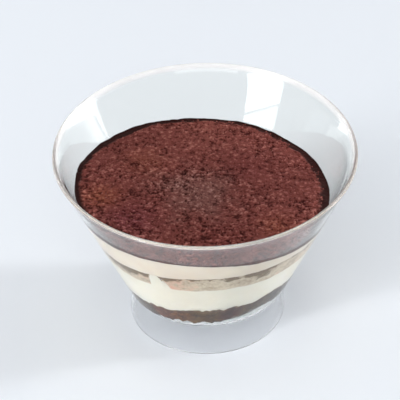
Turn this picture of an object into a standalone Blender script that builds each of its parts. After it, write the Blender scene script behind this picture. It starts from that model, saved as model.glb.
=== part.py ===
"""Tiramisu in a clear one-piece dessert cup.

The cup is a turned plastic part: a straight flared bowl, a rounded lower
corner, a floor and a hollow foot ring that is open underneath. The dessert
fills the bowl in five layers, from the bottom: coffee-soaked sponge, cream,
sponge, cream and cocoa. The origin is on the cup's axis, at the surface it
stands on.
"""
import math
import random

import bmesh
import bpy

MM = 0.001

# Cup, outer sizes
RIM_RADIUS = 50.0 * MM
HEIGHT = 65.5 * MM
CORNER_RADIUS = 28.7 * MM       # where the flared wall meets the rounded corner
CORNER_HEIGHT = 17.0 * MM
WALL = 1.2 * MM
CORNER_ROUND = 4.5 * MM
FLOOR_TOP = 12.9 * MM
FLOOR = 1.2 * MM
BEAD = 1.7 * MM                 # height of the rounded rim bead
BEAD_WALL = 1.7 * MM

# Foot ring
FOOT_RADIUS = 26.2 * MM
FOOT_TOP_RADIUS = 25.6 * MM
FOOT_WALL = 1.2 * MM
FOOT_ROUND = 0.35 * MM

CUP_STEPS = 80
FOOD_STEPS = 64

# Dessert
FIT_GAP = 0.3 * MM              # between touching pieces

# The break in the upper sponge: a wedge that points inwards from the wall
NOTCH_ANGLE = math.radians(-113)
NOTCH_WIDTH = 4.6 * MM
NOTCH_DEPTH = 7.0 * MM
NOTCH_TIP = 0.35                # width at the tip, as a share of NOTCH_WIDTH
NOTCH_PAST_WALL = 8.0 * MM
NOTCH_TALL = 30.0 * MM
PLUG_LAP = 1.0 * MM             # how far the plug of cream reaches into the layer above

# Every layer is pressed up the wall on one side
LIFT_ANGLE = math.radians(-90)
LIFT_SPREAD = math.radians(30)
LIFT_POWER = 3                  # how close to the wall the rise stays

# Each boundary surface: height on the axis, slopes along X and Y, how far it
# rises at the wall at LIFT_ANGLE, how far it falls from the middle to the
# wall, and the height and length of its waves.
SPONGE_LOWER_TOP = dict(level=22.6 * MM, slope_x=0.035, slope_y=0.0, lift=1.9 * MM,
                        crown=0.0, wave=0.45 * MM, length=17 * MM, seed=3)
CREAM_LOWER_TOP = dict(level=36.9 * MM, slope_x=0.02, slope_y=0.0, lift=0.7 * MM,
                       crown=0.0, wave=0.6 * MM, length=21 * MM, seed=8)
SPONGE_UPPER_TOP = dict(level=43.1 * MM, slope_x=0.035, slope_y=0.0, lift=2.8 * MM,
                        crown=0.0, wave=0.4 * MM, length=19 * MM, seed=11)
CREAM_UPPER_TOP = dict(level=47.5 * MM, slope_x=-0.05, slope_y=-0.05, lift=3.3 * MM,
                       crown=0.0, wave=0.3 * MM, length=23 * MM, seed=5)
COCOA_TOP = dict(level=50.3 * MM, slope_x=-0.058, slope_y=-0.05, lift=2.6 * MM,
                 crown=0.3 * MM, wave=0.25 * MM, length=15 * MM, seed=2)

WAVE_OCTAVES = (1.0, 1.3, 1.7, 2.1)
WAVE_SHARE = 0.6                # brings the summed waves back to about the stated height
SETTLE_STEPS = 12               # rounds that settle a vertex on the sloped wall
BLANK_SIZE = 10.0 * MM          # radius and height of the turned blank of a layer
SKEW = 2 * math.pi / FOOD_STEPS # turn from the axis to the wall, so one diagonal is the shorter


# ---------------------------------------------------------------- scene set-up
for old in list(bpy.data.objects):
    bpy.data.objects.remove(old, do_unlink=True)

tiramisu = bpy.data.collections.new("tiramisu_cup")
cutters = bpy.data.collections.new("cutters")
bpy.context.scene.collection.children.link(tiramisu)
bpy.context.scene.collection.children.link(cutters)


def material(name, color, roughness, transmission=0.0):
    """Principled material with one base colour."""
    made = bpy.data.materials.new(name)
    made.use_nodes = True
    shader = made.node_tree.nodes["Principled BSDF"]
    shader.inputs["Base Color"].default_value = (*color, 1.0)
    shader.inputs["Roughness"].default_value = roughness
    shader.inputs["Metallic"].default_value = 0.0
    shader.inputs["Transmission Weight"].default_value = transmission
    made.diffuse_color = (*color, 1.0)
    return made


def turned(name, profile, steps, collection):
    """Turn an (r, z) profile, axis to axis, into one closed solid."""
    mesh = bpy.data.meshes.new(name)
    points = [(r, 0.0, z) for r, z in profile]
    edges = [(i, i + 1) for i in range(len(profile) - 1)]
    mesh.from_pydata(points, edges, [])
    part = bpy.data.objects.new(name, mesh)
    collection.objects.link(part)
    screw = part.modifiers.new("Turn", "SCREW")
    screw.axis = "Z"
    screw.angle = 2 * math.pi
    screw.steps = steps
    screw.render_steps = steps
    screw.use_merge_vertices = True
    screw.merge_threshold = 0.00001
    screw.use_smooth_shade = True
    return part


def arc(center_r, center_z, radius, start, end, count):
    """Points of an arc in the (r, z) plane, angles in degrees."""
    points = []
    for i in range(count + 1):
        angle = math.radians(start + (end - start) * i / count)
        r = center_r + radius * math.cos(angle)
        z = center_z + radius * math.sin(angle)
        points.append((r, z))
    return points


# ------------------------------------------------------------------------- cup
WALL_SLOPE = (RIM_RADIUS - CORNER_RADIUS) / (HEIGHT - CORNER_HEIGHT)
WALL_LEAN = math.degrees(math.atan(WALL_SLOPE))
WALL_ACROSS = WALL * math.sqrt(1 + WALL_SLOPE ** 2)


def outer_radius(z):
    """Radius of the flared wall's outer face."""
    return RIM_RADIUS - WALL_SLOPE * (HEIGHT - z)


def inner_radius(z):
    """Radius of the flared wall's inner face."""
    return outer_radius(z) - WALL_ACROSS


def corner_center(floor_z, radius, face):
    """Centre of the round that joins a flared face to a flat floor."""
    z = floor_z + radius
    touch_z = z - radius * math.sin(math.radians(WALL_LEAN))
    r = face(touch_z) - radius * math.cos(math.radians(WALL_LEAN))
    return r, z


def cup_profile():
    """Inside of the floor, up the inner wall, over the bead, down to the foot."""
    inner_round = CORNER_ROUND - WALL
    inner_r, inner_z = corner_center(FLOOR_TOP, inner_round, inner_radius)
    outer_r, outer_z = corner_center(FLOOR_TOP - FLOOR, CORNER_ROUND, outer_radius)
    bead_r = RIM_RADIUS - BEAD_WALL / 2
    bead_z = HEIGHT - BEAD_WALL / 2
    bead_foot = HEIGHT - BEAD
    underside = FLOOR_TOP - FLOOR
    # the outer corner's arc stops where it runs into the foot ring
    reach = (FOOT_TOP_RADIUS - outer_r) / CORNER_ROUND
    foot_angle = -math.degrees(math.acos(reach))
    foot_inner = FOOT_RADIUS - FOOT_WALL
    foot_top_inner = FOOT_TOP_RADIUS - FOOT_WALL
    points = [(0.0, FLOOR_TOP)]
    points += arc(inner_r, inner_z, inner_round, -90, -WALL_LEAN, 4)
    points.append((inner_radius(bead_foot), bead_foot))
    points += arc(bead_r, bead_z, BEAD_WALL / 2, 180, 0, 6)
    points.append((outer_radius(bead_foot), bead_foot))
    points += arc(outer_r, outer_z, CORNER_ROUND, -WALL_LEAN, foot_angle, 4)
    points += arc(FOOT_RADIUS - FOOT_ROUND, FOOT_ROUND, FOOT_ROUND, 0, -90, 1)
    points.append((foot_inner, 0.0))
    points.append((foot_top_inner, underside))
    points.append((0.0, underside))
    return points


def make_cup():
    cup = turned("cup", cup_profile(), CUP_STEPS, tiramisu)
    clear = material("clear_plastic", (0.93, 0.95, 0.97), 0.05, transmission=1.0)
    cup.data.materials.append(clear)
    return cup


# --------------------------------------------------------------------- dessert
def wave_height(surface, x, y):
    """Gentle unevenness: four plane waves in fixed directions."""
    draw = random.Random(surface["seed"])
    height = 0.0
    for octave in WAVE_OCTAVES:
        turn = draw.uniform(0, 2 * math.pi)
        phase = draw.uniform(0, 2 * math.pi)
        along = x * math.cos(turn) + y * math.sin(turn)
        height += math.sin(2 * math.pi * octave * along / surface["length"] + phase) / octave
    return surface["wave"] * height * WAVE_SHARE


def boundary(surface, x, y):
    """Height of a boundary surface at a place."""
    share = math.hypot(x, y) / inner_radius(surface["level"])
    turn = math.remainder(math.atan2(y, x) - LIFT_ANGLE, 2 * math.pi)
    near = math.exp(-0.5 * (turn / LIFT_SPREAD) ** 2)
    tilt = surface["slope_x"] * x + surface["slope_y"] * y
    rise = surface["lift"] * near * share ** LIFT_POWER
    fall = surface["crown"] * share ** 2
    return surface["level"] + tilt + rise - fall + wave_height(surface, x, y)


def flat(level):
    """A boundary surface without slope or waves."""
    return dict(level=level, slope_x=0.0, slope_y=0.0, lift=0.0, crown=0.0,
                wave=0.0, length=1.0, seed=0)


# A layer's section: share of the bowl's radius, and share of the thickness
STRAIGHT_SIDE = [(0.0, 1.0), (0.4, 1.0), (0.75, 1.0), (1.0, 1.0),
                 (1.0, 0.0), (0.75, 0.0), (0.4, 0.0), (0.0, 0.0)]
ROUNDED_FOOT = [(0.0, 1.0), (0.4, 1.0), (0.75, 1.0), (1.0, 1.0), (1.0, 0.2),
                (0.97, 0.1), (0.9, 0.02), (0.75, 0.0), (0.4, 0.0), (0.0, 0.0)]
POWDER_TOP = [(0.0, 1.0), (0.2, 1.0), (0.4, 1.0), (0.6, 1.0), (0.78, 1.0), (0.9, 1.0),
              (0.95, 0.86), (1.0, 0.92), (1.0, 0.0), (0.75, 0.0), (0.4, 0.0), (0.0, 0.0)]


def layer(name, lower, upper, section, collection):
    """One layer of the dessert between two boundary surfaces, clear of the wall."""
    profile = [(share * BLANK_SIZE, height * BLANK_SIZE) for share, height in section]
    blank = turned(name + "_blank", profile, FOOD_STEPS, cutters)
    seen = blank.evaluated_get(bpy.context.evaluated_depsgraph_get())
    mesh = bpy.data.meshes.new_from_object(seen)
    bpy.data.objects.remove(blank, do_unlink=True)
    mesh.name = name
    for vertex in mesh.vertices:
        share = math.hypot(vertex.co.x, vertex.co.y) / BLANK_SIZE
        turn = math.atan2(vertex.co.y, vertex.co.x) + SKEW * share
        height = vertex.co.z / BLANK_SIZE
        z = lower["level"]
        for _ in range(SETTLE_STEPS):
            radius = share * (inner_radius(z) - FIT_GAP)
            x = radius * math.cos(turn)
            y = radius * math.sin(turn)
            low = boundary(lower, x, y) + FIT_GAP / 2
            high = boundary(upper, x, y) - FIT_GAP / 2
            z = low + height * (high - low)
        vertex.co = (x, y, z)
    split_alike(mesh)
    part = bpy.data.objects.new(name, mesh)
    collection.objects.link(part)
    return part


def split_alike(mesh):
    """Split the twisted quads on the shorter diagonal, so that neighbours stay parallel."""
    shape = bmesh.new()
    shape.from_mesh(mesh)
    bmesh.ops.triangulate(shape, faces=shape.faces, quad_method="SHORT_EDGE")
    shape.to_mesh(mesh)
    shape.free()


def combine(part, other, operation):
    """Apply a Boolean to a part and keep the result as its mesh."""
    step = part.modifiers.new(operation.title(), "BOOLEAN")
    step.operation = operation
    step.solver = "EXACT"
    step.object = other
    seen = part.evaluated_get(bpy.context.evaluated_depsgraph_get())
    mesh = bpy.data.meshes.new_from_object(seen)
    part.modifiers.clear()
    part.data = mesh


def notch_wedge(name, grow):
    """A wedge that points inwards from the wall, for the break in the sponge."""
    half = NOTCH_WIDTH / 2 + grow
    depth = NOTCH_DEPTH + grow
    middle = (SPONGE_UPPER_TOP["level"] + CREAM_LOWER_TOP["level"]) / 2
    rim = inner_radius(middle)
    mesh = bpy.data.meshes.new(name)
    shape = bmesh.new()
    bmesh.ops.create_cube(shape, size=1.0)
    for vertex in shape.verts:
        outward = rim + NOTCH_PAST_WALL if vertex.co.x > 0 else rim - depth
        across = half * (1.0 if vertex.co.x > 0 else NOTCH_TIP)
        across *= 1 if vertex.co.y > 0 else -1
        x = outward * math.cos(NOTCH_ANGLE) - across * math.sin(NOTCH_ANGLE)
        y = outward * math.sin(NOTCH_ANGLE) + across * math.cos(NOTCH_ANGLE)
        vertex.co = (x, y, middle + vertex.co.z * NOTCH_TALL)
    shape.to_mesh(mesh)
    shape.free()
    wedge = bpy.data.objects.new(name, mesh)
    wedge.hide_render = True
    wedge.display_type = "WIRE"
    cutters.objects.link(wedge)
    return wedge


def finish(part, made):
    """Give a dessert layer its material and soft shading."""
    part.data.materials.clear()
    part.data.materials.append(made)
    part.data.shade_smooth()
    part.data.set_sharp_from_angle(angle=math.radians(40))


def make_dessert():
    sponge_dark = material("soaked_sponge", (0.13, 0.075, 0.045), 0.85)
    sponge_light = material("sponge", (0.55, 0.46, 0.36), 0.85)
    cream = material("mascarpone_cream", (0.80, 0.75, 0.65), 0.6)
    cocoa = material("cocoa_powder", (0.10, 0.03, 0.022), 0.95)

    floor = flat(FLOOR_TOP + FIT_GAP / 2)
    sponge_lower = layer("sponge_lower", floor, SPONGE_LOWER_TOP, ROUNDED_FOOT, tiramisu)
    finish(sponge_lower, sponge_dark)

    cream_lower = layer("cream_lower", SPONGE_LOWER_TOP, CREAM_LOWER_TOP, STRAIGHT_SIDE, tiramisu)
    finish(cream_lower, cream)

    # the upper sponge has a break at the wall, and the cream above fills it
    sponge_upper = layer("sponge_upper", CREAM_LOWER_TOP, SPONGE_UPPER_TOP, STRAIGHT_SIDE, tiramisu)
    combine(sponge_upper, notch_wedge("notch_cut", FIT_GAP), "DIFFERENCE")
    finish(sponge_upper, sponge_light)

    cream_upper = layer("cream_upper", SPONGE_UPPER_TOP, CREAM_UPPER_TOP, STRAIGHT_SIDE, tiramisu)
    plug_top = dict(SPONGE_UPPER_TOP, level=SPONGE_UPPER_TOP["level"] + PLUG_LAP)
    plug = layer("notch_plug", CREAM_LOWER_TOP, plug_top, STRAIGHT_SIDE, cutters)
    plug.hide_render = True
    plug.display_type = "WIRE"
    combine(plug, notch_wedge("notch_fill", 0.0), "INTERSECT")
    combine(cream_upper, plug, "UNION")
    finish(cream_upper, cream)

    cocoa_top = layer("cocoa_top", CREAM_UPPER_TOP, COCOA_TOP, POWDER_TOP, tiramisu)
    finish(cocoa_top, cocoa)


make_cup()
make_dessert()
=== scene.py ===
import math
import random

import bpy
import numpy as np
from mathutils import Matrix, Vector, noise


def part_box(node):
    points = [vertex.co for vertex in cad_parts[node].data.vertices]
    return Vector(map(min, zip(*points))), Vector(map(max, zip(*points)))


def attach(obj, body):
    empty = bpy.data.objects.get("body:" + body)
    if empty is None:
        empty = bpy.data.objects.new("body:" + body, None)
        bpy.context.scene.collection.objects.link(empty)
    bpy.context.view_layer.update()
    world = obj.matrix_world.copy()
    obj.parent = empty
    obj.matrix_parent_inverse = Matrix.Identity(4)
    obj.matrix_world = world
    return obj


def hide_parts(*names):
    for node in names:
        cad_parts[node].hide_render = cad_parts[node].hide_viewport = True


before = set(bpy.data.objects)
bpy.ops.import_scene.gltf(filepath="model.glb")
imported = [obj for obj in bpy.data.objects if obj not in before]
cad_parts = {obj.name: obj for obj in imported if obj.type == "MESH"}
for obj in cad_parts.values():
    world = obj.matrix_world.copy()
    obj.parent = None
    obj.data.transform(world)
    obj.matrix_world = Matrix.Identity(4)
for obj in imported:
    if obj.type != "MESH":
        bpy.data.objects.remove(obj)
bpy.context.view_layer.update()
bpy.ops.object.select_all(action="DESELECT")


# ---------------------------------------------------------------------- camera
# A long lens looks down on the cup from in front, from well above the table,
# and is rolled a touch to one side.
CAMERA_PLACE = Vector((0.0, -0.7036, 0.6028))
CAMERA_AIM = Vector((-0.00195, 0.00886, 0.0381))
CAMERA_ROLL = math.radians(-1.03)
LENS = 243.8
SENSOR_WIDTH = 36.0
NEAREST = 0.01

bpy.ops.object.camera_add(location=CAMERA_PLACE)
camera = bpy.context.object
camera.name = "camera"
camera.rotation_euler = (CAMERA_AIM - CAMERA_PLACE).to_track_quat("-Z", "Y").to_euler()
camera.rotation_euler.rotate_axis("Z", CAMERA_ROLL)
camera.data.lens = LENS
camera.data.sensor_width = SENSOR_WIDTH
camera.data.clip_start = NEAREST
bpy.context.scene.camera = camera


# ------------------------------------------------------------------------- cup
# The cup is one injection-moulded piece of clear polystyrene: a flared bowl
# with a rounded rim bead, a rounded lower corner and a hollow foot ring. It
# stands on the ring's lower edge.
MM = 0.001
RIM_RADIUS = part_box("cup")[1].x
CUP_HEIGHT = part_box("cup")[1].z
CORNER_RADIUS = 28.7 * MM
CORNER_HEIGHT = 17.0 * MM
WALL = 1.2 * MM
CORNER_ROUND = 4.5 * MM
FLOOR_TOP = 12.9 * MM
FLOOR = 1.2 * MM
BEAD = 1.35 * MM
FOOT_RADIUS = 26.2 * MM
FOOT_TOP_RADIUS = 25.6 * MM
FOOT_ROUND = 0.4 * MM
CUP_SIDES = 160
ROUND_STEPS = 10
BEAD_STEPS = 14
EDGE_STEPS = 4
WALL_ROWS = 12
FOOT_ROWS = 4
CAP_RADIUS = 3 * MM               # the flat cap that closes the floor in the middle
EDGE_LOOP = 1 * MM                # keeps the flat floor flat up to its round

WALL_SLOPE = (RIM_RADIUS - CORNER_RADIUS) / (CUP_HEIGHT - CORNER_HEIGHT)
WALL_LEAN = math.degrees(math.atan(WALL_SLOPE))
WALL_ACROSS = WALL * math.sqrt(1 + WALL_SLOPE ** 2)


def outer_wall(z):
    """Radius of the flared wall's outer face."""
    return RIM_RADIUS - WALL_SLOPE * (CUP_HEIGHT - z)


def inner_wall(z):
    """Radius of the flared wall's inner face."""
    return outer_wall(z) - WALL_ACROSS


def corner_center(floor_z, radius, wall):
    """Centre of the round between the floor and the flared wall."""
    z = floor_z + radius
    touch = z - radius * math.sin(math.radians(WALL_LEAN))
    return wall(touch) - radius * math.cos(math.radians(WALL_LEAN)), z


def arc(center, radius, start, end, count):
    """Stations round an arc in the radius and height plane, angles in degrees."""
    across, up = center
    stations = []
    for i in range(count + 1):
        angle = math.radians(start + (end - start) * i / count)
        stations.append((across + radius * math.cos(angle), up + radius * math.sin(angle)))
    return stations


def along(start, end, count):
    """Stations between two stations, without the ends."""
    return [(start[0] + (end[0] - start[0]) * i / count,
             start[1] + (end[1] - start[1]) * i / count) for i in range(1, count)]


def turned(name, stations, sides):
    """A closed round form: a circle, extruded from station to station, with its ends capped."""
    radius, height = stations[0]
    bpy.ops.mesh.primitive_circle_add(vertices=sides, radius=radius, location=(0, 0, height))
    form = bpy.context.object
    form.name = name
    bpy.ops.object.transform_apply(location=True)
    bpy.ops.object.mode_set(mode="EDIT")
    bpy.ops.mesh.select_all(action="SELECT")
    bpy.ops.mesh.edge_face_add()
    bpy.ops.mesh.select_mode(type="FACE")
    bpy.ops.mesh.select_all(action="SELECT")
    bpy.ops.mesh.delete(type="ONLY_FACE")
    bpy.ops.mesh.select_mode(type="EDGE")
    bpy.ops.mesh.select_all(action="SELECT")
    for to_radius, to_height in stations[1:]:
        bpy.ops.mesh.extrude_region_move(
            TRANSFORM_OT_translate={"value": (0, 0, to_height - height)})
        grow = to_radius / radius
        bpy.ops.transform.resize(value=(grow, grow, 1), center_override=(0, 0, to_height))
        radius, height = to_radius, to_height
    bpy.ops.mesh.edge_face_add()
    bpy.ops.mesh.select_all(action="DESELECT")
    bpy.ops.mesh.select_non_manifold()
    bpy.ops.mesh.edge_face_add()
    bpy.ops.mesh.select_all(action="SELECT")
    bpy.ops.mesh.normals_make_consistent(inside=False)
    bpy.ops.object.mode_set(mode="OBJECT")
    return form


inner_corner = corner_center(FLOOR_TOP, CORNER_ROUND - WALL, inner_wall)
outer_corner = corner_center(FLOOR_TOP - FLOOR, CORNER_ROUND, outer_wall)
underside = FLOOR_TOP - FLOOR
bead_low = CUP_HEIGHT - BEAD
foot_angle = -math.degrees(math.acos((FOOT_TOP_RADIUS - outer_corner[0]) / CORNER_ROUND))

inner_side = arc(inner_corner, CORNER_ROUND - WALL, -90, -WALL_LEAN, ROUND_STEPS)
bead = arc((RIM_RADIUS - BEAD / 2, CUP_HEIGHT - BEAD / 2), BEAD / 2, 180, 0, BEAD_STEPS)
outer_side = arc(outer_corner, CORNER_ROUND, -WALL_LEAN, foot_angle, ROUND_STEPS)
foot_edge = arc((FOOT_RADIUS - FOOT_ROUND, FOOT_ROUND), FOOT_ROUND, 0, -90, EDGE_STEPS)
foot_inner_edge = arc((FOOT_RADIUS - WALL + FOOT_ROUND, FOOT_ROUND), FOOT_ROUND, -90, -180,
                      EDGE_STEPS)
foot_top_inner = (FOOT_TOP_RADIUS - WALL, underside)

wall_top_inner = (inner_wall(bead_low), bead_low)
wall_top_outer = (outer_wall(bead_low), bead_low)

stations = [(CAP_RADIUS, FLOOR_TOP), (inner_side[0][0] - EDGE_LOOP, FLOOR_TOP)] + inner_side
stations += along(inner_side[-1], wall_top_inner, WALL_ROWS)
stations += [wall_top_inner] + bead + [wall_top_outer]
stations += along(wall_top_outer, outer_side[0], WALL_ROWS)
stations += outer_side
stations += along(outer_side[-1], foot_edge[0], FOOT_ROWS)
stations += foot_edge + foot_inner_edge
stations += along(foot_inner_edge[-1], foot_top_inner, FOOT_ROWS)
stations += [foot_top_inner, (foot_top_inner[0] - EDGE_LOOP, underside), (CAP_RADIUS, underside)]
cup = turned("cup_clear", stations, CUP_SIDES)
bpy.ops.object.shade_smooth_by_angle(angle=math.radians(38))


class Wire:
    """A node socket. Arithmetic on it adds Math nodes, and node() adds any other node."""

    def __init__(self, tree, socket=None):
        self.tree = tree
        self.socket = socket

    def node(self, kind, settings, inputs, output=0):
        made = self.tree.nodes.new(kind)
        for name, value in settings.items():
            if name == "stops":
                stops = made.color_ramp.elements
                while len(stops) < len(value):
                    stops.new(1.0)
                for stop, (place, color) in zip(stops, value):
                    stop.position = place
                    stop.color = (*color, 1.0)
            else:
                setattr(made, name, value)
        for name, value in inputs.items():
            if isinstance(value, Wire):
                self.tree.links.new(value.socket, made.inputs[name])
            else:
                made.inputs[name].default_value = value
        return Wire(self.tree, made.outputs[output])

    def math(self, operation, first, second):
        return self.node("ShaderNodeMath", {"operation": operation}, {0: first, 1: second})

    def __add__(self, other):
        return self.math("ADD", self, other)

    def __radd__(self, other):
        return self.math("ADD", other, self)

    def __sub__(self, other):
        return self.math("SUBTRACT", self, other)

    def __rsub__(self, other):
        return self.math("SUBTRACT", other, self)

    def __mul__(self, other):
        return self.math("MULTIPLY", self, other)

    def __rmul__(self, other):
        return self.math("MULTIPLY", other, self)


def finish(piece, name, roughness, **constants):
    """Put a new material on a piece. Gives its shader, its node maker and the pattern place."""
    made = bpy.data.materials.new(name)
    made.use_nodes = True
    tree = made.node_tree
    shader = tree.nodes["Principled BSDF"]
    shader.inputs["Roughness"].default_value = roughness
    for key, value in constants.items():
        shader.inputs[key.replace("_", " ")].default_value = value
    piece.data.materials.clear()
    piece.data.materials.append(made)
    maker = Wire(tree)
    return shader, maker, maker.node("ShaderNodeTexCoord", {}, {}, output=3)


def feed(shader, name, wire):
    """Link a pattern to one of the shader's sockets."""
    wire.tree.links.new(wire.socket, shader.inputs[name])


PLASTIC_CLEAR = (0.975, 0.985, 0.955)
# the foot's plastic is tinted darker: painted shade for the shadow under the bowl and the light its
# thick walls bend away
PLASTIC_FOOT_SHADED = (0.92, 0.925, 0.93)
PLASTIC_IOR = 1.47
POLISHED = 0.02
BEAD_FROST = 0.22
FOOT_EDGE_FROST = 0.25
# a share of milky white diffuse on the bead: partly the moulded bead's milkiness, partly a painted
# highlight for the rim's bright line
BEAD_MILKY_HIGHLIGHT = 0.24
MILKY_HIGHLIGHT_WHITE = (0.88, 0.82, 0.81)
WALL_SHADE = (0.88, 0.885, 0.89)   # what the wall lets through to a shadow
FOOT_SHADE = (0.62, 0.625, 0.63)   # the thick foot bends more of the light away
shader, maker, place = finish(cup, "clear_polystyrene", POLISHED, IOR=PLASTIC_IOR,
                              Transmission_Weight=1.0)
height = maker.node("ShaderNodeSeparateXYZ", {}, {0: place}, output=2)
at_foot = maker.node("ShaderNodeMapRange", {}, {"Value": height, "From Min": underside + 1 * MM,
                                                "From Max": underside - 1 * MM})
# below the floor the glass tint turns to the darker foot tint: painted shade
tint = maker.node("ShaderNodeMix", {"data_type": "RGBA"},
                  {0: at_foot, 6: (*PLASTIC_CLEAR, 1.0), 7: (*PLASTIC_FOOT_SHADED, 1.0)}, output=2)
feed(shader, "Base Color", tint)
at_bead = maker.node("ShaderNodeMapRange", {}, {"Value": height, "From Min": bead_low - 0.4 * MM,
                                                "From Max": bead_low + 0.2 * MM})
at_edge = maker.node("ShaderNodeMapRange", {}, {"Value": height, "From Min": 0.9 * MM,
                                                "From Max": 0.5 * MM})
feed(shader, "Roughness", at_bead * BEAD_FROST + at_edge * FOOT_EDGE_FROST + POLISHED)
clear = maker.node("ShaderNodeBsdfTransparent", {}, {"Color": (*WALL_SHADE, 1.0)})
bent_away = maker.node("ShaderNodeBsdfTransparent", {}, {"Color": (*FOOT_SHADE, 1.0)})
clear = maker.node("ShaderNodeMixShader", {}, {0: at_foot, 1: clear, 2: bent_away})
milky_highlight = maker.node("ShaderNodeBsdfDiffuse", {}, {"Color": (*MILKY_HIGHLIGHT_WHITE, 1.0)})
shadow_ray = maker.node("ShaderNodeLightPath", {}, {}, output=1)
output = maker.tree.nodes["Material Output"]
plastic = Wire(maker.tree, shader.outputs[0])
# the bead mixes in the milky white: part milkiness, part painted highlight
seen = maker.node("ShaderNodeMixShader", {}, {0: at_bead * BEAD_MILKY_HIGHLIGHT, 1: plastic, 2: milky_highlight})
seen = maker.node("ShaderNodeMixShader", {}, {0: shadow_ray, 1: seen, 2: clear})
maker.tree.links.new(seen.socket, output.inputs["Surface"])
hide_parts("cup")
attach(cup, "root")


# ---------------------------------------------------------------- lower sponge
# The lower layer is sponge soaked dark with coffee. It was laid in by hand, so
# its edges crumble against the wall and it leaves the cup's rounded corner
# open.
FOOD_SIDES = 400
INTO_WALL = 0.12 * MM
LIFT_ANGLE = math.radians(-90)
LIFT_SPREAD = math.radians(30)
BLANK_SIZE = 10 * MM               # radius and height of the turned blank of a layer
SETTLE_STEPS = 8                   # rounds that settle a point on the sloped wall


def rough(x, y, size, seed):
    """Smooth random unevenness of a given size, about -1 to 1."""
    return 1.6 * noise.noise(Vector((x / size + 7.3 * seed, y / size - 3.1 * seed, 1.7 * seed)))


def by_heading(stops, angle):
    """A value that changes round the cup. Stops are (heading in degrees, value), in order."""
    heading = math.degrees(angle)
    before = (stops[-1][0] - 360, stops[-1][1])
    for stop in list(stops) + [(stops[0][0] + 360, stops[0][1])]:
        if heading <= stop[0]:
            share = (heading - before[0]) / (stop[0] - before[0])
            return np.array(before[1]) * (1 - share) + np.array(stop[1]) * share
        before = stop
    return np.array(before[1])


def surface_height(surface, x, y):
    """Height of one of the dessert's boundary surfaces."""
    share = math.hypot(x, y) / inner_wall(surface["level"])
    angle = math.atan2(y, x)
    turn = math.remainder(angle - LIFT_ANGLE, 2 * math.pi)
    height = surface["level"] + surface["slope_x"] * x + surface["slope_y"] * y
    height += surface["lift"] * math.exp(-0.5 * (turn / LIFT_SPREAD) ** 2) * share ** 3
    for i, (size, amount) in enumerate(surface["rough"]):
        height += amount * rough(x, y, size, surface["seed"] + i)
    for where, spread, amount in surface.get("lumps", ()):
        off = math.remainder(angle - math.radians(where), 2 * math.pi) / math.radians(spread)
        height += amount * math.exp(-0.5 * off ** 2) * share ** 4
    return height


def food_radius(z):
    """Radius of the food at the wall, a touch inside the plastic."""
    touch = inner_side[-1][1]
    if z >= touch:
        return inner_wall(z) + INTO_WALL
    round_radius = CORNER_ROUND - WALL
    drop = min(inner_corner[1] - z, round_radius)
    return inner_corner[0] + math.sqrt(round_radius ** 2 - drop ** 2) + INTO_WALL


def height_of(surface, x, y):
    """A boundary is either a surface's values or a function of the place."""
    return surface(x, y) if callable(surface) else surface_height(surface, x, y)


def layer(name, lower, upper, stations, marks=()):
    """A layer between two surfaces. Stations give the share of the radius and of the thickness.
    Each point keeps how far up it is, and marks are further values that change round the cup."""
    blank = [(share * BLANK_SIZE, up * BLANK_SIZE) for share, up in stations]
    piece = turned(name, blank, FOOD_SIDES)
    ups = []
    kept = {mark: [] for mark in marks}
    for vertex in piece.data.vertices:
        share = math.hypot(vertex.co.x, vertex.co.y) / BLANK_SIZE
        angle = math.atan2(vertex.co.y, vertex.co.x)
        up = vertex.co.z / BLANK_SIZE
        z = height_of(lower, 0, 0)
        for _ in range(SETTLE_STEPS):
            radius = share * food_radius(z)
            x, y = radius * math.cos(angle), radius * math.sin(angle)
            low = height_of(lower, x, y)
            z = low + up * (height_of(upper, x, y) - low)
        vertex.co = (x, y, z)
        ups.append(up)
        for mark in marks:
            kept[mark].extend(by_heading(marks[mark], angle).ravel())
    piece.data.attributes.new("up", "FLOAT", "POINT").data.foreach_set("value", ups)
    for mark, values in kept.items():
        if len(values) > len(ups):
            colors = np.array(values).reshape(-1, 3)
            colors = np.column_stack((colors, np.ones(len(colors)))).ravel()
            kept_colors = piece.data.attributes.new(mark, "FLOAT_COLOR", "POINT").data
            kept_colors.foreach_set("color", colors)
        else:
            piece.data.attributes.new(mark, "FLOAT", "POINT").data.foreach_set("value", values)
    for face in piece.data.polygons:
        face.use_smooth = True
    piece.data.set_sharp_from_angle(angle=math.radians(50))
    return piece


def straight_stations(rows):
    """Up the wall in rows, with the top and bottom closed."""
    stations = [(0.1, 0.0), (0.5, 0.0), (0.8, 0.0), (0.93, 0.0)]
    stations += [(1.0, i / rows) for i in range(rows + 1)]
    stations += [(0.93, 1.0), (0.8, 1.0), (0.5, 1.0), (0.1, 1.0)]
    return stations


LAYER_ROWS = 10
SPONGE_LOWER_TOP = dict(level=22.4 * MM, slope_x=0.100, slope_y=0.0, lift=0.4 * MM, seed=3,
                        rough=[(13 * MM, 0.3 * MM), (3.5 * MM, 0.4 * MM), (1.5 * MM, 0.55 * MM)],
                        lumps=[(-98, 12, 1.0 * MM), (-77, 3.0, 0.6 * MM), (-50, 10, 0.8 * MM)])
SPONGE_LOWER_EDGE = dict(level=14.8 * MM, slope_x=0.090, slope_y=0.0, lift=0.4 * MM, seed=31,
                         rough=[(6 * MM, 0.35 * MM), (2.6 * MM, 0.8 * MM), (1.3 * MM, 0.9 * MM)],
                         lumps=[(-55, 10, 1.6 * MM)])
OPEN_CORNER = 15 * MM
CRUMBLED_FROM = 0.9


def sponge_underside(x, y):
    """Flat on the cup's floor, and rising over the open corner to the crumbled edge."""
    share = math.hypot(x, y) / food_radius(OPEN_CORNER)
    rise = min(max((share - CRUMBLED_FROM) / (1 - CRUMBLED_FROM), 0.0), 1.0)
    edge = surface_height(SPONGE_LOWER_EDGE, x, y)
    return FLOOR_TOP + (edge - FLOOR_TOP) * rise ** 1.5


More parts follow.
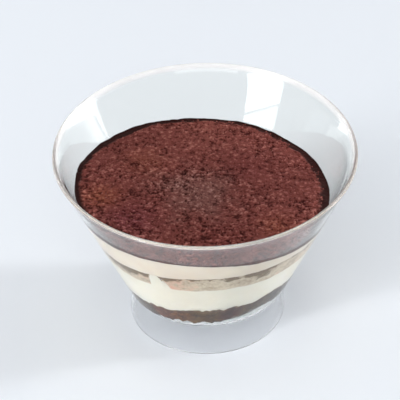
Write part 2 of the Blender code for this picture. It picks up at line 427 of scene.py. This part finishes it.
SOAKED_COLORS = [
    (-180, (0.090, 0.050, 0.018)), (-138, (0.095, 0.056, 0.022)), (-131, (0.060, 0.034, 0.008)),
    (-126, (0.130, 0.024, 0.004)), (-117, (0.130, 0.026, 0.004)), (-112, (0.190, 0.060, 0.004)),
    (-104, (0.175, 0.060, 0.004)), (-98, (0.125, 0.060, 0.006)), (-84, (0.110, 0.048, 0.006)),
    (-80, (0.080, 0.012, 0.004)), (-72, (0.085, 0.014, 0.006)), (-67, (0.090, 0.042, 0.016)),
    (-52, (0.092, 0.054, 0.028)), (-35, (0.050, 0.028, 0.014)), (60, (0.080, 0.030, 0.010)),
    (140, (0.100, 0.036, 0.010))]
COFFEE_DARK = (0.016, 0.005, 0.002)
DRIER_TOP = (0.26, 0.19, 0.13)
PALE_CRUMB = (0.26, 0.15, 0.07)
sponge_lower = layer("sponge_soaked", sponge_underside, SPONGE_LOWER_TOP, straight_stations(LAYER_ROWS),
                     {"soak": SOAKED_COLORS})
shader, maker, place = finish(sponge_lower, "coffee_soaked_sponge", 0.8, Specular_IOR_Level=0.05)
up = maker.node("ShaderNodeAttribute", {"attribute_name": "up"}, {}, output=2)
soak = maker.node("ShaderNodeAttribute", {"attribute_name": "soak"}, {}, output=0)
patches = maker.node("ShaderNodeTexNoise", {}, {"Vector": place, "Scale": 260.0, "Detail": 3.0})
crumb = maker.node("ShaderNodeTexNoise", {}, {"Vector": place, "Scale": 900.0, "Detail": 4.0})
wet = maker.node("ShaderNodeMapRange", {}, {"Value": patches * 0.5 + crumb * 0.5, "From Min": 0.38,
                                            "From Max": 0.60, "To Min": 0.85, "To Max": 0.0})
tone = maker.node("ShaderNodeMix", {"data_type": "RGBA"},
                  {0: wet, 6: soak, 7: (*COFFEE_DARK, 1.0)}, output=2)
lighter = maker.node("ShaderNodeMapRange", {"interpolation_type": "SMOOTHSTEP"},
                     {"Value": up + crumb * 0.3, "From Min": 0.95, "From Max": 1.2,
                      "To Min": 0.0, "To Max": 0.55})
tone = maker.node("ShaderNodeMix", {"data_type": "RGBA"},
                  {0: lighter, 6: tone, 7: (*DRIER_TOP, 1.0)}, output=2)
pale_crumbs = maker.node("ShaderNodeMapRange", {}, {"Value": crumb, "From Min": 0.56,
                                                    "From Max": 0.72, "To Min": 0.0, "To Max": 0.6})
color = maker.node("ShaderNodeMix", {"data_type": "RGBA"},
                   {0: pale_crumbs, 6: tone, 7: (*PALE_CRUMB, 1.0)}, output=2)
feed(shader, "Base Color", color)
bump = maker.node("ShaderNodeBump", {}, {"Height": crumb, "Strength": 0.5, "Distance": 0.0006})
feed(shader, "Normal", bump)
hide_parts("sponge_lower")
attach(sponge_lower, "root")


# ----------------------------------------------------------------- lower cream
# Mascarpone cream, piped over the soaked sponge and pressed smooth against the
# wall. It is the thickest layer.
CREAM_LOWER_TOP = dict(level=36.6 * MM, slope_x=0.030, slope_y=0.0, lift=0.5 * MM, seed=8,
                       rough=[(15 * MM, 0.45 * MM), (5 * MM, 0.35 * MM),
                              (1.6 * MM, 0.12 * MM)])
THICK_CREAM = ((0.755, 0.715, 0.625), (0.805, 0.780, 0.695))
THIN_CREAM = ((0.720, 0.630, 0.535), (0.765, 0.698, 0.600))


def cream_finish(piece, name, shades):
    """Soft, slightly glossy cream with faint streaks and patches."""
    shader, maker, place = finish(piece, name, 0.5, Subsurface_Weight=0.35,
                                  Subsurface_Scale=0.004, Specular_IOR_Level=0.15)
    shader.inputs["Subsurface Radius"].default_value = (1.0, 0.8, 0.5)
    streaks = maker.node("ShaderNodeTexNoise", {},
                         {"Vector": place, "Scale": 70.0, "Detail": 4.0})
    tone = maker.node("ShaderNodeValToRGB", {"stops": [(0.35, shades[0]), (0.6, shades[1])]},
                      {"Fac": streaks})
    feed(shader, "Base Color", tone)
    fine = maker.node("ShaderNodeTexNoise", {},
                      {"Vector": place, "Scale": 350.0, "Detail": 2.0})
    bump = maker.node("ShaderNodeBump", {},
                      {"Height": fine, "Strength": 0.15, "Distance": 0.0005})
    feed(shader, "Normal", bump)


SPONGE_UPPER_TOP = dict(level=42.9 * MM, slope_x=0.060, slope_y=0.0, lift=1.5 * MM, seed=11,
                        rough=[(14 * MM, 0.3 * MM), (5 * MM, 0.25 * MM), (1.5 * MM, 0.15 * MM)])
BREAK_HEADING = -115.8
BREAK_LEFT = (2.5, 3.8)
BREAK_RIGHT = (2.3, 7.4)
BREAK_DEPTH = 0.8                  # share of the radius from which the break is filled
BREAK_BACK = 0.06
BREAK_RAGGED = 0.3
BREAK_RAGGED_SIZE = 1.4 * MM
CREAM_SKIN = 0.02 * MM


def cream_lower_top(x, y):
    """The thick cream's top, which wells up through the break in the upper sponge."""
    low = surface_height(CREAM_LOWER_TOP, x, y)
    top = surface_height(SPONGE_UPPER_TOP, x, y)
    turn = math.atan2(y, x) - math.radians(BREAK_HEADING)
    turn = math.degrees(math.remainder(turn, 2 * math.pi))
    neck, foot = BREAK_LEFT if turn < 0 else BREAK_RIGHT
    filled = min(max((foot - abs(turn)) / (foot - neck), 0.0), 1.0)
    if filled < 1.0:
        ragged = 1 + BREAK_RAGGED * rough(x, y, BREAK_RAGGED_SIZE, 17)
        filled = min(max(filled * ragged, 0.0), 1.0)
    share = math.hypot(x, y) / inner_wall(top)
    filled *= min(max((share - BREAK_DEPTH) / BREAK_BACK, 0.0), 1.0)
    return low + (top - CREAM_SKIN - low) * filled


cream_lower = layer("cream_thick", SPONGE_LOWER_TOP, cream_lower_top, straight_stations(LAYER_ROWS))
cream_finish(cream_lower, "mascarpone_lower", THICK_CREAM)
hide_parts("cream_lower")
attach(cream_lower, "root")


# ---------------------------------------------------------------- upper sponge
# The upper sponge is only lightly soaked, so it stays pale, with a dark wet
# line along its top. It lies in two pieces, and cream has filled the break
# between them.
PINK_STREAKS = [(-180, 0.1), (-140, 0.1), (-127, 0.45), (-120, 0.6), (-111, 0.4), (-108, 0.85),
                (-98, 0.6), (-91, 0.1), (-62, 0.05), (-52, 0.35), (-20, 0.3), (90, 0.2)]
WET_LINE = [(-180, 0.10), (-150, 0.20), (-142, 0.55), (-130, 0.65), (-124, 0.20), (-119, 0.40),
            (-113, 0.55), (-107, 0.28), (-101, 0.02), (-92, 0.10), (-84, 0.0), (-79, 0.20),
            (-74, 0.05), (-66, 0.55), (-58, 0.40), (-52, 0.06), (-20, 0.08), (90, 0.10)]
SPONGE_DEEP = (0.41, 0.32, 0.23)
SPONGE_TAN = (0.58, 0.50, 0.39)
SPONGE_PALE = (0.67, 0.60, 0.485)
SPONGE_PINK = (0.66, 0.36, 0.26)
SPONGE_WET = (0.125, 0.072, 0.022)
sponge_upper = layer("sponge_pale", cream_lower_top, SPONGE_UPPER_TOP, straight_stations(LAYER_ROWS),
                     {"pink": PINK_STREAKS, "wet_line": WET_LINE})
shader, maker, place = finish(sponge_upper, "pale_sponge", 0.8, Specular_IOR_Level=0.05)
up = maker.node("ShaderNodeAttribute", {"attribute_name": "up"}, {}, output=2)
pink = maker.node("ShaderNodeAttribute", {"attribute_name": "pink"}, {}, output=2)
line = maker.node("ShaderNodeAttribute", {"attribute_name": "wet_line"}, {}, output=2)
patches = maker.node("ShaderNodeTexNoise", {}, {"Vector": place, "Scale": 240.0, "Detail": 4.0})
crumb = maker.node("ShaderNodeTexNoise", {}, {"Vector": place, "Scale": 1000.0, "Detail": 4.0})
tone = maker.node("ShaderNodeValToRGB", {"stops": [
    (0.38, SPONGE_DEEP), (0.50, SPONGE_TAN), (0.62, SPONGE_PALE)]},
    {"Fac": patches * 0.6 + crumb * 0.4})
blush = maker.node("ShaderNodeMapRange", {}, {"Value": pink * 0.5 + patches, "From Min": 0.71,
                                              "From Max": 0.97, "To Min": 0.0, "To Max": 0.85})
tone = maker.node("ShaderNodeMix", {"data_type": "RGBA"},
                  {0: blush, 6: tone, 7: (*SPONGE_PINK, 1.0)}, output=2)
wet = maker.node("ShaderNodeMapRange", {"interpolation_type": "SMOOTHSTEP"},
                 {"Value": up + line + crumb * 0.4 + patches * 1.6, "From Min": 1.88,
                  "From Max": 2.08, "To Min": 0.0, "To Max": 0.9})
color = maker.node("ShaderNodeMix", {"data_type": "RGBA"},
                   {0: wet, 6: tone, 7: (*SPONGE_WET, 1.0)}, output=2)
feed(shader, "Base Color", color)
bump = maker.node("ShaderNodeBump", {}, {"Height": crumb, "Strength": 0.5, "Distance": 0.0005})
feed(shader, "Normal", bump)
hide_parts("sponge_upper")
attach(sponge_upper, "root")


# ----------------------------------------------------------------- upper cream
# A second, thinner layer of the same cream, spread over the pale sponge. It
# carries the cocoa.
CREAM_UPPER_TOP = dict(level=47.5 * MM, slope_x=-0.06, slope_y=-0.05, lift=2.7 * MM, seed=5,
                       rough=[(12 * MM, 0.22 * MM), (4 * MM, 0.16 * MM), (1.2 * MM, 0.08 * MM)])

cream_upper = layer("cream_thin", SPONGE_UPPER_TOP, CREAM_UPPER_TOP, straight_stations(LAYER_ROWS))
cream_finish(cream_upper, "mascarpone_upper", THIN_CREAM)
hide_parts("cream_upper")
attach(cream_upper, "root")


# ------------------------------------------------------------------- cocoa top
# Cocoa powder, sieved over the cream. It lies in small clumps and grains, and
# where it touches the wall it has drawn up moisture and set to a dark ring; that
# ring also carries painted shade for the gap between powder and wall. Pits and
# grooves carry painted shade, and clumps are painted lighter.
COCOA_TOP = dict(level=50.3 * MM, slope_x=-0.058, slope_y=-0.05, lift=0.9 * MM, seed=2,
                 rough=[(11 * MM, 0.30 * MM), (5 * MM, 0.16 * MM)])
COCOA_CELLS = 300
RING_WIDTHS = [(-150, 1.8), (-125, 0.4), (-55, 0.4), (-30, 2.4), (-10, 3.3), (12, 3.0), (40, 2.7),
               (65, 2.0), (90, 2.3), (118, 2.1), (132, 3.0), (150, 1.9), (180, 1.9)]
EDGE_DRYNESS = [(-180, 0.3), (-135, 0.45), (-112, 0.55), (-62, 0.55), (-45, 0.45), (-20, 0.3)]
RING_STEP = 1.7 * MM
POWDER_PROUD = 0.35 * MM
RING_SUNK = 0.25 * MM
CLUMP_SIZE = 2.0 * MM
CLUMP_HEIGHT = 0.45 * MM
GRAIN_SIZE = 0.85 * MM
GRAIN_HEIGHT = 0.30 * MM
PIT_SIZE = 0.9 * MM
PIT_DEPTH = 0.5 * MM
FURROW_SIZE = 1.4 * MM
FURROW_HEIGHT = 0.22 * MM
PITTED_PLACE = (-3.5 * MM, 8 * MM, 4 * MM)
GROOVE_PLACE = (-23 * MM, 12 * MM, 2.2 * MM, 0.45 * MM)


def cocoa_height(x, y, share):
    """Height of the powder, how dry it is, and the painted shade of its relief there: low in pits and
    the groove, high on clumps and grains.
    """
    height = surface_height(COCOA_TOP, x, y)
    width = float(by_heading(RING_WIDTHS, math.atan2(y, x))) * MM
    width *= 1 + 0.22 * rough(x, y, 3 * MM, 21)
    from_wall = (1 - share) * inner_wall(height)
    dry = min(max((from_wall - width) / RING_STEP + 0.5, 0.0), 1.0)
    dry = dry * dry * (3 - 2 * dry)
    height += POWDER_PROUD * dry - RING_SUNK * (1 - dry) * min(from_wall / (0.6 * MM), 1.0)
    patchy = min(max(0.75 + 0.6 * rough(x, y, 8 * MM, 14) - 0.35 * y / RIM_RADIUS, 0.15), 1.3)
    at_x, at_y, spread = PITTED_PLACE
    off_x, off_y = (x - at_x) / (1.4 * spread), (y - at_y) / (0.6 * spread)
    patchy += 0.7 * math.exp(-off_x ** 2 - off_y ** 2)
    at_x, at_y, long, wide = GROOVE_PLACE
    groove = math.exp(-((x - at_x) / long) ** 4 - ((y - at_y) / wide) ** 2)
    clump = 0.45 - noise.voronoi(Vector((x, y, 0.0)) / CLUMP_SIZE)[0][0]
    grain = 0.45 - noise.voronoi(Vector((x, y, 3 * MM)) / GRAIN_SIZE)[0][0]
    pit = min(max((rough(x, y, PIT_SIZE, 33) - 0.42) / 0.35, 0.0), 1.0)
    furrow = rough(0.8 * x, 1.2 * y, FURROW_SIZE, 52)
    relief = CLUMP_HEIGHT * clump + GRAIN_HEIGHT * grain + FURROW_HEIGHT * furrow
    relief -= PIT_DEPTH * (pit + groove)
    # This value feeds the colour: painted shade darkens pits and the groove, clumps and grains are
    # painted lighter; part of the dark in the pits is damp powder.
    raised = 0.5 + 0.35 * clump - 0.6 * groove
    raised += (0.5 * grain + 0.16 * furrow - 0.35 * pit) * patchy
    return height + relief * patchy * (0.35 + 0.65 * dry), dry, raised


SIDE_ROWS = 3                      # rows down the side, and one more that turns under

bpy.ops.mesh.primitive_grid_add(x_subdivisions=COCOA_CELLS, y_subdivisions=COCOA_CELLS, size=2.0)
cocoa = bpy.context.object
cocoa.name = "cocoa_powder_top"
bpy.ops.object.mode_set(mode="EDIT")
bpy.ops.mesh.select_all(action="DESELECT")
bpy.ops.mesh.select_mode(type="EDGE")
bpy.ops.mesh.select_non_manifold()
for _ in range(SIDE_ROWS + 1):
    bpy.ops.mesh.extrude_region_move(TRANSFORM_OT_translate={"value": (0, 0, -1.0)})
bpy.ops.mesh.edge_face_add()
bpy.ops.mesh.select_all(action="SELECT")
bpy.ops.mesh.normals_make_consistent(inside=False)
bpy.ops.object.mode_set(mode="OBJECT")

# Broad colour patches; the lighter patch at the back and the darker one on the right are painted light
# and shade.
POWDER_TINTS_LIGHT_AND_SHADE = [((-34, -7), 6, (1.30, 1.35, 1.00)), ((0, 36), 15, (1.22, 1.30, 1.25)),
                ((23, -21), 6, (1.15, 1.15, 0.95)), ((-25, -19), 9, (0.85, 0.75, 0.95)),
                ((3, -29), 8, (0.88, 0.80, 0.80)), ((-20, 14), 7, (1.12, 1.18, 1.00)),
                ((14, 12), 8, (0.92, 0.86, 0.90)), ((33, 2), 13, (0.80, 0.78, 0.78))]


def powder_tint_light_and_shade(x, y):
    """Broad patches where the powder is a little warmer, lighter or darker; the lighter back and the
    darker right side are painted light and shade.
    """
    tint = np.ones(3)
    for (at_x, at_y), spread, color in POWDER_TINTS_LIGHT_AND_SHADE:
        away = math.hypot(x / MM - at_x, y / MM - at_y) / spread
        tint += (np.array(color) - 1) * math.exp(-away ** 2)
    return (*tint, 1.0)


TURNED_UNDER = 0.9
dryness = []
relief_shades = []
tints_light_and_shade = []
for vertex in cocoa.data.vertices:
    u, v, level = vertex.co
    flat_x = u * math.sqrt(1 - v * v / 2)
    flat_y = v * math.sqrt(1 - u * u / 2)
    share = min(math.hypot(flat_x, flat_y), 1.0)
    angle = math.atan2(flat_y, flat_x)
    down = min(-level / SIDE_ROWS, 1.0)
    z = COCOA_TOP["level"]
    for _ in range(3):
        radius = share * food_radius(z)
        x, y = radius * math.cos(angle), radius * math.sin(angle)
        z, dry, raised = cocoa_height(x, y, share)
        if down > 0:
            z += (surface_height(CREAM_UPPER_TOP, x, y) - z) * down
    if -level > SIDE_ROWS + 0.5:
        x, y = TURNED_UNDER * x, TURNED_UNDER * y
        z = surface_height(CREAM_UPPER_TOP, x, y)
    vertex.co = (x, y, z)
    dryness.append(dry if down <= 0 else float(by_heading(EDGE_DRYNESS, angle)))
    relief_shades.append(raised)
    tints_light_and_shade.extend(powder_tint_light_and_shade(x, y))
cocoa.data.attributes.new("dry", "FLOAT", "POINT").data.foreach_set("value", dryness)
cocoa.data.attributes.new("raised", "FLOAT", "POINT").data.foreach_set("value", relief_shades)
cocoa.data.attributes.new("tint", "FLOAT_COLOR", "POINT").data.foreach_set("color", tints_light_and_shade)
for face in cocoa.data.polygons:
    face.use_smooth = True
cocoa.data.set_sharp_from_angle(angle=math.radians(70))

# The darkest stops are dark grains and painted shade in the pits; the lightest are pale grains and
# clumps painted lighter.
COCOA_DARK_AND_PIT_SHADE = (0.046, 0.010, 0.008)
COCOA_BROWN = (0.142, 0.038, 0.031)
COCOA_LIGHT = (0.290, 0.106, 0.088)
GREY_DARK_AND_PIT_SHADE = (0.045, 0.018, 0.015)
GREY_BROWN = (0.145, 0.062, 0.052)
GREY_LIGHT = (0.350, 0.200, 0.170)
# near black: moist cocoa at the wall, with the shade of the gap between powder and wall painted in
COCOA_WET_AND_GAP_SHADE = (0.020, 0.005, 0.004)
GREY_MIDDLE = (-2 * MM, -4 * MM, 50 * MM)


def cocoa_finish(piece, name, carries_relief):
    """Matt powder of dark and light grains, greyer in the middle, with painted shade in pits and
    painted light on clumps, near black where it is wet and where the gap at the wall is painted in
    shade.
    """
    shader, maker, place = finish(piece, name, 0.95, Specular_IOR_Level=0.08)
    grains = maker.node("ShaderNodeTexNoise", {},
                        {"Vector": place, "Scale": 1600.0, "Detail": 2.0})
    specks = maker.node("ShaderNodeTexNoise", {},
                        {"Vector": place, "Scale": 750.0, "Detail": 3.0})
    grainy = grains * 0.45 + specks * 0.55
    if carries_relief:
        # the relief's painted shade: darker in pits and grooves, lighter on clumps
        raised = maker.node("ShaderNodeAttribute", {"attribute_name": "raised"}, {}, output=2)
        grainy = grainy * 0.55 + raised * 0.45
    tone = maker.node("ShaderNodeValToRGB", {"stops": [
        (0.37, COCOA_DARK_AND_PIT_SHADE), (0.46, COCOA_BROWN), (0.51, COCOA_BROWN), (0.62, COCOA_LIGHT)]},
        {"Fac": grainy})
    off_middle = maker.node("ShaderNodeVectorMath", {"operation": "DISTANCE"},
                            {0: place, 1: GREY_MIDDLE}, output=1)
    cloud = maker.node("ShaderNodeTexNoise", {},
                       {"Vector": place, "Scale": 110.0, "Detail": 3.0})
    grey = maker.node("ShaderNodeMapRange", {"interpolation_type": "SMOOTHSTEP"},
                      {"Value": off_middle + cloud * 0.030, "From Min": 0.018, "From Max": 0.036,
                       "To Min": 0.75, "To Max": 0.0})
    greyer = maker.node("ShaderNodeValToRGB", {"stops": [
        (0.37, GREY_DARK_AND_PIT_SHADE), (0.46, GREY_BROWN), (0.51, GREY_BROWN), (0.62, GREY_LIGHT)]},
        {"Fac": grainy})
    color = maker.node("ShaderNodeMix", {"data_type": "RGBA"},
                       {0: grey, 6: tone, 7: greyer}, output=2)
    if carries_relief:
        # colour patches, with painted light at the back and painted shade on the right
        tint = maker.node("ShaderNodeAttribute", {"attribute_name": "tint"}, {}, output=0)
        color = maker.node("ShaderNodeMix", {"data_type": "RGBA", "blend_type": "MULTIPLY"},
                           {0: 1.0, 6: color, 7: tint}, output=2)
        dry = maker.node("ShaderNodeAttribute", {"attribute_name": "dry"}, {}, output=2)
        # the wet ring: moist cocoa plus painted shade of the gap at the wall
        wet = maker.node("ShaderNodeMapRange", {},
                         {"Value": dry, "To Min": 1.0, "To Max": 0.0})
        color = maker.node("ShaderNodeMix", {"data_type": "RGBA"},
                           {0: wet, 6: color, 7: (*COCOA_WET_AND_GAP_SHADE, 1.0)}, output=2)
        feed(shader, "Roughness", 0.95 - wet * 0.3)
    feed(shader, "Base Color", color)
    bump = maker.node("ShaderNodeBump", {},
                      {"Height": grains, "Strength": 0.6, "Distance": 0.0003})
    feed(shader, "Normal", bump)


cocoa_finish(cocoa, "cocoa_powder", True)
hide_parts("cocoa_top")
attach(cocoa, "root")


# ---------------------------------------------------------------- cocoa grains
# Loose grains and small clumps of cocoa that lie on the sieved surface. Each
# is a rough little lump, pressed a little into the powder.
GRAIN_COUNT = 4500
GRAIN_SMALL = 0.10 * MM
GRAIN_LARGE = 0.38 * MM
GRAIN_REACH = 0.955                # share of the radius that the grains reach
GRAIN_DRY = 0.6                    # they are left off the wet ring
GRAIN_SUNK = 0.35

bpy.ops.object.select_all(action="DESELECT")
bpy.ops.mesh.primitive_ico_sphere_add(subdivisions=1, radius=1.0)
grain = bpy.context.object
lump = np.array([vertex.co[:] for vertex in grain.data.vertices])
lump_faces = np.array([face.vertices[:] for face in grain.data.polygons])
draw = random.Random(40)
all_points = []
all_faces = []
while len(all_points) < GRAIN_COUNT:
    share = math.sqrt(draw.random()) * GRAIN_REACH
    angle = draw.uniform(0, 2 * math.pi)
    radius = share * food_radius(COCOA_TOP["level"])
    x, y = radius * math.cos(angle), radius * math.sin(angle)
    if rough(x, y, 5 * MM, 9) < draw.uniform(-1.0, 0.8):
        continue
    top, dry, _ = cocoa_height(x, y, share)
    if dry < GRAIN_DRY:
        continue
    size = GRAIN_SMALL + (GRAIN_LARGE - GRAIN_SMALL) * draw.random() ** 2.5
    z = top + GRAIN_SUNK * size
    turn = draw.uniform(0, 2 * math.pi)
    stretch = np.array([draw.uniform(0.8, 1.3), draw.uniform(0.7, 1.1),
                        draw.uniform(0.6, 0.9)])
    wobble = 1 + np.array([draw.uniform(-0.25, 0.25) for _ in lump])[:, None]
    shaped = lump * wobble * stretch * size
    cos_turn, sin_turn = math.cos(turn), math.sin(turn)
    turned_x = shaped[:, 0] * cos_turn - shaped[:, 1] * sin_turn + x
    turned_y = shaped[:, 0] * sin_turn + shaped[:, 1] * cos_turn + y
    all_faces.append(lump_faces + len(all_points) * len(lump))
    all_points.append(np.column_stack((turned_x, turned_y, shaped[:, 2] + z)))
grain.data.clear_geometry()
grain.data.from_pydata(np.concatenate(all_points).tolist(), [],
                       np.concatenate(all_faces).tolist())
grain.name = "cocoa_loose_grains"
cocoa_finish(grain, "cocoa_grains", False)
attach(grain, "root")


# ------------------------------------------------------------- table and light
# A plain pale table in a bright room. A window with open sky above it stands
# to the left, a card and a lamp on the right, a broad soft light in front, and
# a narrow card close by at the back left.
bpy.ops.object.select_all(action="DESELECT")
bpy.ops.mesh.primitive_plane_add(size=8.0, location=(0, 0, 0))
table = bpy.context.object
table.name = "table"
finish(table, "pale_table", 0.6, Base_Color=(0.80, 0.835, 0.885, 1.0))

ROOM_LOW = 0.41
ROOM_HIGH = 0.575
ROOM_WHITE = (0.96, 0.98, 1.0)
world = bpy.data.worlds.new("room")
bpy.context.scene.world = world
world.use_nodes = True
room = Wire(world.node_tree)
toward = room.node("ShaderNodeTexCoord", {}, {})
rise = room.node("ShaderNodeSeparateXYZ", {}, {0: toward}, output=2)
light = room.node("ShaderNodeMapRange", {},
                  {"Value": rise, "To Min": ROOM_LOW, "To Max": ROOM_HIGH})
background = world.node_tree.nodes["Background"]
background.inputs["Color"].default_value = (*ROOM_WHITE, 1.0)
world.node_tree.links.new(light.socket, background.inputs["Strength"])


def panel(name, heading, rise, distance, width, height, glow):
    """A soft light panel that faces the cup. Heading runs from +X towards +Y, rise is up from
    the table."""
    turn, lift = math.radians(heading), math.radians(rise)
    side = Vector((math.cos(turn) * math.cos(lift), math.sin(turn) * math.cos(lift),
                   math.sin(lift)))
    bpy.ops.object.light_add(type="AREA", location=side * distance)
    light = bpy.context.object
    light.name = name
    light.rotation_euler = (math.pi / 2 - lift, 0, turn + math.pi / 2)
    light.data.shape = "RECTANGLE"
    light.data.size = width
    light.data.size_y = height
    light.data.energy = glow * math.pi * width * height
    light.visible_camera = False


panel("window_left", -137, 13, 2.6, 1.24, 1.12, 4.8)
panel("window_sky", -139, 32, 2.6, 0.35, 0.70, 30.0)
panel("card_right", 16, 9, 2.0, 1.4, 0.60, 4.0)
panel("lamp_right", 7, 16, 2.0, 0.22, 0.40, 77.0)
panel("room_front", -92, 38, 3.0, 2.4, 1.4, 1.7)
panel("card_back_left", 141, 11, 0.50, 0.13, 0.18, 4.0)
bpy.context.scene.view_settings.view_transform = "Standard"
light_paths = bpy.context.scene.cycles
light_paths.max_bounces = 32
light_paths.transmission_bounces = 32
light_paths.glossy_bounces = 16
light_paths.diffuse_bounces = 6
light_paths.transparent_max_bounces = 32
